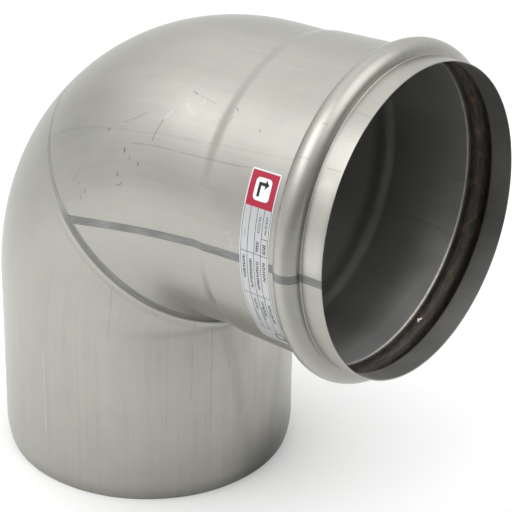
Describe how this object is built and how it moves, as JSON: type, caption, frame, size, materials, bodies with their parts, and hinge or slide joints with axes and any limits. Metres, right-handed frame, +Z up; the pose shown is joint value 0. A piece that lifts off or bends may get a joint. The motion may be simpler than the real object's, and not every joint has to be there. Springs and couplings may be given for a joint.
{
  "type": "flue elbow",
  "caption": "Single-wall steel flue elbow turning 87 degrees, with a plain spigot at one end and a widened socket with a rolled seal groove at the other.",
  "frame": {"origin": "centre of the spigot's lower end, on the surface that the part stands on", "axes": "+Z up the spigot's axis, +X towards the socket, whose axis lies in the XZ plane 3 degrees above +X, +Y across the part"},
  "size_m": [0.2951, 0.199, 0.3114],
  "materials": {
    "steel": "mill-finished stainless sheet, satin, with light forming marks",
    "weld": "planished and brushed weld metal, darker than the sheet",
    "label": "printed film label with a red panel and ruled boxes"
  },
  "bodies": {
    "root": {"spigot_half": "steel", "socket_half": "steel", "spigot_seam_weld": "weld", "socket_seam_weld": "weld", "mitre_weld": "weld", "rating_label": "label"}
  },
  "joints": []
}
